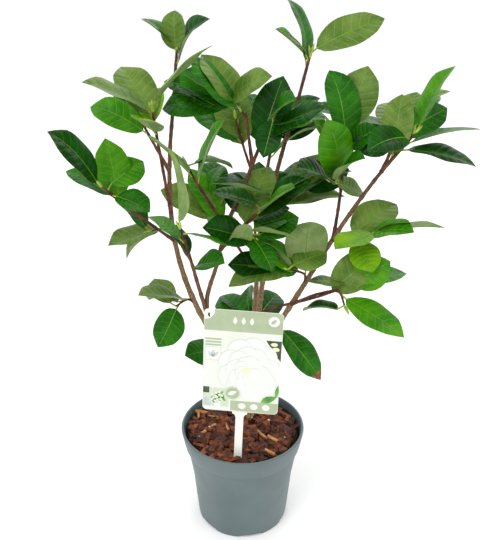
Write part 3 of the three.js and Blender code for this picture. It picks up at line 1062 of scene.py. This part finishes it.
    def end_buds(self, shoot: Limb, spray: Spray, dice: random.Random) -> None:
        """Adds the buds at the end of a shoot, the first one in line with it."""
        for k in range(spray.buds):
            foot, ahead, _ = shoot.spot(1 - 2.5 * k / shoot.grown)
            sway = heading(self.divergence * k, 25) * (0.15 + 0.4 * min(k, 1))
            aim = (ahead + sway).normalized()
            length = dice.uniform(8, 12)
            width = dice.uniform(3.2, 4.2)
            path = [foot + aim * length * step / self.bud_steps for step in range(self.bud_steps + 1)]
            radii = []
            for step in range(self.bud_steps + 1):
                t = step / self.bud_steps
                body = 0.875 * width * t ** 0.45 * (1 - t) ** 0.75
                radii.append(max(0.12, body + 0.25 * (1 - t)))
            points, faces = tube(path, radii, 10, 0.08)
            self.buds.add(points, faces, BUD)

    def build(self, finishes: Finishes, sprays: Sequence[Spray]) -> None:
        """Makes a piece for each spray, one of the twigs and one of the buds."""
        for spray in sprays:
            stock = self.grow(spray)
            settle(stock.piece(finishes, 60.0), "foliage", f"leaves_{spray.mass}")
        settle(self.twigs.piece(finishes), "bark")
        settle(self.buds.piece(finishes), "foliage")


SPRAYS = (
    Spray("crown_top", "stem_top", 1, 1, buds=3),
    Spray("top_left", "stem_left", 2, 0, buds=2),
    Spray("upper_left", "bough_upper_left", 3, 1, Palette.YOUNG, buds=3),
    Spray("left", "bough_left", 4, 1),
    Spray("left_front", "stem_front_left", 5, 1, Palette.YOUNG, buds=2),
    Spray("upper_middle", "bough_upper_middle", 6, 1, Palette.YOUNG, buds=3),
    Spray("upper_centre_left", "bough_upper_centre", 7, 2, buds=2),
    Spray("upper_centre", "stem_centre", 8, 2, Palette.SHADED, buds=2),
    Spray("upper_right", "bough_upper_right", 9, 2),
    Spray("right", "stem_right", 10, 2, buds=2),
    Spray("right_middle", "bough_right", 11, 2, Palette.YOUNG),
    Spray("right_low", "bough_low_centre", 12, 2, Palette.YOUNG),
    Spray("lower_right", "bough_lower_right", 13, 1),
    Spray("low_right", "stem_right", 14, 0, buds=0, browned=True),
    Spray("centre_right", "bough_upper_right", 15, 2),
    Spray("centre", "bough_centre", 16, 3),
    Spray("centre_low", "bough_centre", 17, 3),
    Spray("low_centre", "stem_right", 18, 4),
    Spray("left_middle", "stem_front_left", 19, 1, Palette.SHADED, buds=0),
    # These two sprays are dealt the painted sheen of glossy grey-green leaves.
    Spray("left_low", "stem_left", 20, 0, Palette.GREY_SHEEN),
    Spray("lower_left", "stem_left", 21, 1, Palette.GREY_SHEEN, buds=0),
    Spray("lowest_left", "stem_left", 22, 1, Palette.SHADED, buds=0),
    Spray("back_top", "stem_back", 23, 3, buds=2),
    Spray("back_upper", "bough_back", 24, 3),
    Spray("back_middle", "bough_back_middle", 25, 3, Palette.SHADED),
    Spray("back_left", "bough_back_left", 26, 3),
    Spray("back_right", "bough_back_right", 27, 3),
    Spray("far_left", "bough_far_left", 28, 2),
    Spray("far_right", "bough_far_right", 29, 2),
    Spray("low_back", "bough_low_back", 30, 2, Palette.SHADED),
)


# ------------------------------------------------------------------ pot and compost


@dataclass
class Pot:
    """The thin plastic pot: a straight taper, a rim band and shallow notches in its foot."""

    wall: float = 1.8
    band: float = 31.0
    band_step: float = 5.2
    shoulder: float = 7.0
    lip: float = 1.4
    notches: int = 6
    notch_width: float = 25.0
    notch_height: float = 3.2
    notch_turn: float = 10.0
    segments: int = 144
    ground: float = 0.5

    def measure(self) -> tuple[float, float, float]:
        """The rim's radius, the foot's radius and the height, from the frame."""
        low, high = node_box("pot")
        points = [vert.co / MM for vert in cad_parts["pot"].data.vertices]
        foot = max(point.xy.length for point in points if point.z < self.ground)
        return (high.x - low.x) / 2, foot, high.z

    def profile(self) -> list[tuple[float, float]]:
        """Radius and height from the underside's middle, round the lip and back to the axis."""
        rim, foot, height = self.measure()
        band_foot = height - self.band

        def outer(z: float) -> float:
            """The wall's outer radius at a height."""
            return foot + (rim - foot) * z / height

        lip = [(rim - self.lip + self.lip * math.cos(a), height - self.lip + self.lip * math.sin(a))
               for a in (math.radians(d) for d in (0, 30, 60, 90))]
        inside = rim - self.wall - 0.8
        return [
            (0, 0), (foot - 8, 0), (foot - 1.2, 0), (foot - 0.3, 0.4), (outer(1.4), 1.4),
            (outer(12) - 0.4, 12), (outer(band_foot * 0.5) - self.band_step * 0.5, band_foot * 0.5),
            (outer(band_foot) - self.band_step - 0.6, band_foot - 1.2),
            (outer(band_foot) - self.band_step + 0.3, band_foot),
            (outer(band_foot) - 0.8, band_foot + self.shoulder * 0.7),
            (outer(band_foot) + 0.2, band_foot + self.shoulder),
            (outer(height * 0.9), height * 0.9), (rim, height - self.lip * 1.6), *lip,
            (inside, height), (inside - 0.4, height - 1), (inside - 5, band_foot),
            (outer(3) - self.wall - 2.4, 4), (outer(3) - self.wall - 4, 2.6), (0, 2.6),
        ]

    def build(self, finishes: Finishes) -> None:
        """Turns the profile and raises the foot's edge at each notch."""
        _, foot, _ = self.measure()
        profile = self.profile()
        half_turn = self.notch_width / 2 / foot
        points = [Vector((0, 0, profile[0][1]))]
        for i in range(self.segments):
            turn = math.tau * i / self.segments - math.pi / 2
            pitch = math.tau / self.notches
            past = (turn + math.pi / 2 - math.radians(self.notch_turn) + pitch / 2) % pitch
            notched = abs(past - pitch / 2) < half_turn
            for radius, z in profile[1:-1]:
                raised = self.notch_height if notched and z < 2 and radius > foot - 7 else 0.0
                points.append(Vector((radius * math.cos(turn), radius * math.sin(turn), max(z, raised))))
        points.append(Vector((0, 0, profile[-1][1])))
        per = len(profile) - 2
        faces: list[tuple[int, ...]] = []
        for i in range(self.segments):
            here = 1 + i * per
            there = 1 + ((i + 1) % self.segments) * per
            faces.append((0, there, here))
            for k in range(per - 1):
                faces.append((here + k, there + k, there + k + 1, here + k + 1))
            faces.append((here + per - 1, there + per - 1, len(points) - 1))
        stock = Stock("pot_shell")
        stock.add(points, faces, POT_PLASTIC)
        settle(stock.piece(finishes, 34.0), "pot", "pot")


@dataclass(frozen=True)
class ChipMix:
    """One kind of bark chip: how many to the square metre, its size, and how high it lies."""

    name: str
    finish: Matte
    density: float
    small: tuple[float, float, float]
    large: tuple[float, float, float]
    seed: int
    lift: float = 1.0


CHIPS = (
    ChipMix("chips_dark", CHIP_DARK, 15000, (6, 3.6, 1.6), (17, 8, 3.4), 3),
    ChipMix("chips_brown", CHIP_BROWN, 12000, (7, 4, 1.6), (20, 9, 3.2), 5),
    ChipMix("chips_red", CHIP_RED, 6500, (7, 3.4, 1.6), (18, 8, 3), 7),
    ChipMix("chips_tan", CHIP_TAN, 1500, (10, 2.4, 1.4), (26, 4.6, 2.4), 12, 3.0),
    ChipMix("white_grains", GRAIN_WHITE, 900, (1.8, 1.8, 1.6), (3.8, 3.4, 2.6), 19, 3.0),
)


@dataclass
class Compost:
    """The compost, with bark chips strewn over it by Geometry Nodes."""

    rings: int = 26
    segments: int = 96
    edge: float = 1.6
    relief: float = 2.6
    foot: float = 0.68
    inset: float = 1.0
    floor: float = 8.0
    dome: float = 2.4

    def radius(self) -> float:
        """The compost's radius at its top."""
        low, high = node_box("compost")
        return (high.x - low.x) / 2 - self.inset

    def top(self) -> float:
        """The compost's highest level."""
        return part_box("compost")[1].z / MM

    def surface(self, radius: float) -> tuple[list[Vector], list[tuple[int, ...]]]:
        """A rough disc, highest in the middle."""
        top = self.top()
        points = [Vector((0, 0, top))]
        for i in range(1, self.rings + 1):
            share = i / self.rings
            for j in range(self.segments):
                turn = math.tau * j / self.segments
                flat = Vector((math.cos(turn), math.sin(turn), 0)) * radius * share
                lump = noise.noise(flat * 0.22) + 0.6 * noise.noise(flat * 0.6)
                level = top - self.dome * share ** 2 + self.relief * 0.5 * (lump - 0.5)
                points.append(flat + Vector((0, 0, level)))
        faces: list[tuple[int, ...]] = []
        for j in range(self.segments):
            faces.append((0, 1 + j, 1 + (j + 1) % self.segments))
        for i in range(self.rings - 1):
            for j in range(self.segments):
                a = 1 + i * self.segments + j
                b = 1 + i * self.segments + (j + 1) % self.segments
                faces.append((a, a + self.segments, b + self.segments, b))
        return points, faces

    def build(self, finishes: Finishes) -> None:
        """Makes the body of compost and each kind of chip on it."""
        radius = self.radius()
        points, faces = self.surface(radius)
        rim = len(points) - self.segments
        floor = [Vector((p.x * self.foot, p.y * self.foot, self.floor)) for p in points[rim:]]
        base = len(points)
        for j in range(self.segments):
            k = (j + 1) % self.segments
            faces.append((rim + j, base + j, base + k, rim + k))
        faces.append(tuple(reversed(range(base, base + self.segments))))
        stock = Stock("compost_fill")
        stock.add(points + floor, faces, COMPOST)
        settle(stock.piece(finishes, 60.0), "compost", "compost")
        for mix in CHIPS:
            bed_points, bed_faces = self.surface(radius - self.edge - mix.large[0] * 0.22)
            bed = Stock(f"bed_{mix.name}")
            bed.add([p + Vector((0, 0, mix.lift)) for p in bed_points], bed_faces, COMPOST)
            settle(Strewer(mix).strew(bed.piece(finishes), finishes), "compost")


@dataclass
class Strewer:
    """A Geometry Nodes tree that strews chips over a surface."""

    mix: ChipMix
    tilt: float = 0.6
    roughness: float = 0.0011
    raggedness: float = 230.0
    tree: Any = None

    def add(self, kind: str, settings: Optional[dict] = None, values: Optional[dict] = None) -> Any:
        """Adds a geometry node."""
        return add_node(self.tree, kind, settings, values)

    def grow(self) -> None:
        """Builds the tree, with a named input for each size and the seed."""
        self.tree = bpy.data.node_groups.new(f"strew_{self.mix.name}", "GeometryNodeTree")
        face = self.tree.interface
        for name, kind in (("Geometry", "Geometry"), ("Density", "Float"), ("Smallest", "Vector"),
                           ("Largest", "Vector"), ("Seed", "Int"), ("Material", "Material")):
            face.new_socket(name, in_out="INPUT", socket_type=f"NodeSocket{kind}")
        face.new_socket("Geometry", in_out="OUTPUT", socket_type="NodeSocketGeometry")
        given = self.add("NodeGroupInput").outputs
        spots = self.add("GeometryNodeDistributePointsOnFaces", None, {
            "Mesh": given["Geometry"], "Density": given["Density"], "Seed": given["Seed"]})
        chip = self.add("GeometryNodeMeshCube", None, {
            "Size": (1.0, 1.0, 1.0), "Vertices X": 4, "Vertices Y": 3, "Vertices Z": 2})
        turn = self.add("FunctionNodeRandomValue", {"data_type": "FLOAT_VECTOR"}, {
            0: (-self.tilt, -self.tilt, -math.pi), 1: (self.tilt, self.tilt, math.pi),
            "Seed": given["Seed"]})
        size = self.add("FunctionNodeRandomValue", {"data_type": "FLOAT_VECTOR"}, {
            0: given["Smallest"], 1: given["Largest"], "Seed": given["Seed"]})
        laid = self.add("GeometryNodeInstanceOnPoints", None, {
            "Points": spots.outputs["Points"], "Instance": chip.outputs["Mesh"],
            "Rotation": turn.outputs[0], "Scale": size.outputs[0]})
        real = self.add("GeometryNodeRealizeInstances", None, {"Geometry": laid.outputs[0]})
        where = self.add("GeometryNodeInputPosition")
        ragged = self.add("ShaderNodeTexNoise", None, {
            "Vector": where.outputs[0], "Scale": self.raggedness, "Detail": 2.0})
        centred = self.add("ShaderNodeVectorMath", {"operation": "SUBTRACT"}, {
            0: ragged.outputs["Color"], 1: (0.5, 0.5, 0.5)})
        shift = self.add("ShaderNodeVectorMath", {"operation": "SCALE"}, {
            0: centred.outputs[0], "Scale": self.roughness * 2})
        broken = self.add("GeometryNodeSetPosition", None, {
            "Geometry": real.outputs[0], "Offset": shift.outputs[0]})
        dressed = self.add("GeometryNodeSetMaterial", None, {
            "Geometry": broken.outputs[0], "Material": given["Material"]})
        self.add("NodeGroupOutput", None, {"Geometry": dressed.outputs[0]})

    def strew(self, bed: bpy.types.Object, finishes: Finishes) -> bpy.types.Object:
        """Strews the chips and turns them into a plain mesh.

        Args:
            bed: the surface, which is used up.
            finishes: where the chips' material comes from.

        Returns:
            The chips.
        """
        self.grow()
        laid = bed.modifiers.new("strew", "NODES")
        laid.node_group = self.tree
        inputs = {
            "Density": self.mix.density,
            "Smallest": [size * MM for size in self.mix.small],
            "Largest": [size * MM for size in self.mix.large],
            "Seed": self.mix.seed,
            "Material": finishes.get(self.mix.finish),
        }
        for item in self.tree.interface.items_tree:
            if item.in_out == "INPUT" and item.name in inputs:
                laid[item.identifier] = inputs[item.name]
        bpy.context.view_layer.update()
        seen = bed.evaluated_get(bpy.context.evaluated_depsgraph_get())
        mesh = bpy.data.meshes.new_from_object(seen)
        mesh.name = self.mix.name
        bed.modifiers.remove(laid)
        bpy.data.objects.remove(bed)
        return place_object(self.mix.name, mesh)


# ------------------------------------------------------------------ care label


@dataclass
class Label:
    """The printed side of the care card: plain bands, panels and a flower, with no lettering."""

    width: float = 85.0
    height: float = 127.0
    lean: float = 2.0
    yaw: float = -5.0
    roll: float = 2.0
    thickness: float = 0.8
    ink: float = 0.012
    petals: int = 9
    on_top: int = 60

    def __post_init__(self) -> None:
        """Starts the stock and finds the card's place in the frame."""
        low, high = node_box("label_card")
        turn = Matrix.Rotation(math.radians(self.yaw), 3, "Z")
        turn = turn @ Matrix.Rotation(math.radians(-self.lean), 3, "X")
        turn = turn @ Matrix.Rotation(math.radians(self.roll), 3, "Y")
        self.turn = turn @ Matrix.Rotation(math.radians(90), 3, "X")
        self.centre = (low + high) / 2
        self.stock = Stock("label_print")

    def patch(self, outline: Sequence[tuple[float, float]], level: int, finish: Matte) -> None:
        """Lays a flat patch of print on the card.

        Args:
            outline: its corners in order, across and up from the card's middle.
            level: how many layers of print lie under it.
            finish: its colour.
        """
        lowest = self.thickness / 2 + 0.02
        highest = lowest + self.ink * (level + 1)
        if self.area(outline) < 0:
            outline = list(reversed(outline))
        count = len(outline)
        points = [self.centre + self.turn @ Vector((x, y, z)) for z in (lowest, highest) for x, y in outline]
        faces = [tuple(reversed(range(count))), tuple(range(count, 2 * count))]
        for i in range(count):
            j = (i + 1) % count
            faces.append((i, j, count + j, count + i))
        self.stock.add(points, faces, finish)

    @staticmethod
    def area(outline: Sequence[tuple[float, float]]) -> float:
        """The signed area of an outline: positive where it runs anticlockwise."""
        total = 0.0
        for (x, y), (u, v) in zip(outline, [*outline[1:], outline[0]]):
            total += x * v - u * y
        return total / 2

    @staticmethod
    def oval(x: float, y: float, wide: float, tall: float, count: int = 28) -> list[tuple[float, float]]:
        """An oval outline."""
        turns = [math.tau * i / count for i in range(count)]
        return [(x + wide * math.cos(t), y + tall * math.sin(t)) for t in turns]

    @staticmethod
    def leaf(x: float, y: float, bearing: float, length: float, width: float) -> list[tuple[float, float]]:
        """A pointed leaf outline from its foot at (x, y)."""
        turn = math.radians(bearing)
        outline = []
        for side in (1, -1):
            run = range(0, 9) if side == 1 else range(8, 0, -1)
            for i in run:
                v = i / 8
                along = v * length
                out = side * width / 2 * math.sin(math.pi * v ** 0.85)
                outline.append((x + along * math.cos(turn) - out * math.sin(turn),
                                y + along * math.sin(turn) + out * math.cos(turn)))
        return outline

    @staticmethod
    def box(left: float, bottom: float, right: float, top: float) -> list[tuple[float, float]]:
        """A rectangle."""
        return [(left, bottom), (right, bottom), (right, top), (left, top)]

    def bands(self) -> None:
        """The header, the footer with its dots, and the striped panel on the left."""
        x = self.width / 2 - 0.4
        y = self.height / 2 - 0.4
        self.patch([(-x + 11, y), (-x + 11, y - 5), (-x + 6, y - 11), (-x, y - 12.5), (-x, y - 25),
                    (x, y - 25), (x, y - 4.5), (x - 1.4, y - 1.4), (x - 4.5, y)], 0, PRINT_SAGE)
        self.patch(self.oval(x - 9.5, y - 10, 6, 6), 1, PRINT_WHITE)
        self.patch(self.leaf(x - 12.5, y - 13, 45, 8, 4), 2, PRINT_SAGE)
        for i in range(3):
            self.patch(self.leaf(-9 + 9 * i, y - 16, 90, 9, 4.4), 1, PRINT_WHITE)
        self.patch([(-x + 31, -y + 14), (-x + 31, -y + 1), (x - 5, -y), (x - 1.4, -y + 1.4),
                    (x, -y + 5), (x, -y + 14)], 0, PRINT_SAGE)
        for i in range(3):
            self.patch(self.oval(2 + 13.5 * i, -y + 7.5, 4.2, 3.8), 1, PRINT_WHITE)
        for i in range(3):
            self.patch(self.box(-x + 1.5, y - 36.5 - 3.6 * i, -x + 19, y - 34.5 - 3.6 * i), 0, PRINT_SAGE)
        self.patch(self.box(-x + 1.5, y - 62, -x + 19, y - 45), 0, PRINT_PALE)
        self.patch(self.box(-x + 2.3, y - 61.2, -x + 18.2, y - 45.8), 1, PRINT_WHITE)
        for i in range(3):
            self.patch(self.leaf(-x + 10.2, y - 58, 50 + 40 * i, 9.5, 4), 2, PRINT_GREY)

    def flower(self) -> None:
        """A plain double flower: three rings of petals round a pale heart."""
        rings = ((0.0, 41.0, 31.0), (20.0, 28.0, 25.0), (5.0, 15.0, 18.0))
        level = 2
        for start, reach, width in rings:
            for i in range(self.petals):
                turn = math.radians(start + 360 / self.petals * i)
                x = 8 + 0.5 * reach * math.cos(turn)
                y = -8 + 0.62 * reach * math.sin(turn)
                self.patch(self.oval(x, y, width * 0.48, width * 0.5), level, PRINT_SHADE)
                self.patch(self.oval(x + 0.4, y - 0.5, width * 0.46, width * 0.48), level + 1, PRINT_PETAL)
                level += 2
        self.patch(self.oval(5, -9, 4.4, 4), level, PRINT_HEART)

    def corners(self) -> None:
        """The leaves behind the flower, the little potted plant and the round seal."""
        x = self.width / 2 - 0.4
        y = self.height / 2 - 0.4
        self.patch([(x - 17, y - 33), (x, y - 33), (x, y - 58), (x - 5, y - 52)], 0, PRINT_NIGHT)
        self.patch(self.oval(x - 8, y - 37.5, 3.8, 2.2), 1, PRINT_HEART)
        self.patch(self.oval(x - 6, y - 43.5, 4, 2.6), 1, PRINT_HEART)
        self.patch(self.leaf(x - 19, -y + 15, 25, 19, 8), self.on_top, PRINT_LEAF)
        self.patch(self.leaf(x - 2.6, -y + 22, 84, 16, 4.2), self.on_top, PRINT_LEAF)
        self.patch(self.box(-x, -y + 5, -x + 29, -y + 29), 0, PRINT_PALE)
        self.patch(self.box(-x, -y + 22, -x + 7, -y + 30), 1, PRINT_NIGHT)
        self.patch(self.box(-x + 1, -y + 5, -x + 9, -y + 16), 1, PRINT_GREY)
        dice = random.Random(5)
        for _ in range(16):
            turn = dice.uniform(0, math.tau)
            out = dice.uniform(1, 8)
            spot = (-x + 16 + out * math.cos(turn), -y + 17 + 0.8 * out * math.sin(turn))
            self.patch(self.leaf(*spot, dice.uniform(0, 360), 5, 2.8), 2, PRINT_LEAF)
        for i in range(13):
            turn = i * math.radians(137.5)
            out = 2.1 * math.sqrt(i)
            bloom = (-x + 16 + out * math.cos(turn), -y + 17 + out * math.sin(turn))
            self.patch(self.oval(*bloom, 1.3, 1.2, 10), 3, PRINT_WHITE)
        tub = [(-x + 12.5, -y + 9), (-x + 13.5, -y + 4), (-x + 19, -y + 4), (-x + 20, -y + 9)]
        self.patch(tub, 4, PRINT_WHITE)
        self.patch(self.oval(-x + 33, -y + 24, 9, 8.6), self.on_top, PRINT_PALE)
        self.patch(self.oval(-x + 33, -y + 24, 7.6, 7.2), self.on_top + 1, PRINT_SAGE)
        self.patch(self.leaf(-x + 28, -y + 22, 25, 11, 5), self.on_top + 2, PRINT_WHITE)

    def build(self, finishes: Finishes) -> None:
        """Prints the card and gives card and stake their plastic."""
        self.bands()
        self.corners()
        self.flower()
        settle(self.stock.piece(finishes, 20.0), "label")
        for node, finish in (("label_card", CARD_WHITE), ("label_stake", STAKE_WHITE)):
            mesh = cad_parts[node].data
            mesh.materials.clear()
            mesh.materials.append(finishes.get(finish))
            LOG.info("%s: kept from the frame", node)


# ------------------------------------------------------------------ studio


@dataclass
class Studio:
    """A pale floor, soft light and the camera."""

    eye: tuple[float, float, float] = (-0.002, -0.701, 0.666)
    pitch: float = 65.0
    lens: float = 46.6
    sensor: float = 36.0
    world: float = 1.05
    floor: float = 30.0
    middle: float = 0.3

    def light(self, name: str, place: Vector, size: float, power: float) -> None:
        """Adds a soft square lamp that looks at the middle of the plant."""
        lamp = bpy.data.lights.new(name, "AREA")
        lamp.size = size
        lamp.energy = power
        made = place_object(name, lamp)
        made.location = place
        made.rotation_euler = (Vector((0, 0, self.middle)) - place).to_track_quat("-Z", "Y").to_euler()

    def build(self, finishes: Finishes) -> None:
        """Sets the studio up."""
        scene = bpy.context.scene
        scene.view_settings.view_transform = "Standard"
        world = bpy.data.worlds.new("studio")
        world.use_nodes = True
        sky = world.node_tree.nodes["Background"]
        sky.inputs[0].default_value = (1, 1, 1, 1)
        sky.inputs[1].default_value = self.world
        scene.world = world
        self.light("key", Vector((-1.1, -1.3, 1.9)), 1.2, 17)
        self.light("fill", Vector((1.5, -1.0, 1.2)), 1.4, 5)
        self.light("back", Vector((0.4, 1.6, 1.7)), 1.2, 8)
        half = self.floor / 2
        mesh = bpy.data.meshes.new("floor")
        corners = [(-half, -half, 0), (half, -half, 0), (half, half, 0), (-half, half, 0)]
        mesh.from_pydata(corners, [], [(0, 1, 2, 3)])
        mesh.materials.append(finishes.get(FLOOR))
        place_object("floor", mesh)
        camera = bpy.data.cameras.new("camera")
        camera.lens = self.lens
        camera.sensor_width = self.sensor
        camera.clip_end = 100
        scene.camera = place_object("camera", camera)
        scene.camera.location = self.eye
        scene.camera.rotation_euler = (math.radians(self.pitch), 0, 0)


def main() -> None:
    """Builds the plant, its pot and label, and the studio."""
    logging.basicConfig(level=logging.INFO, format="%(relativeCreated)6d %(message)s")
    finishes = Finishes()
    framework = Framework()
    framework.read()
    framework.build(finishes)
    Foliage(framework).build(finishes, SPRAYS)
    Pot().build(finishes)
    Compost().build(finishes)
    Label().build(finishes)
    Studio().build(finishes)


if __name__ == "__main__":
    main()
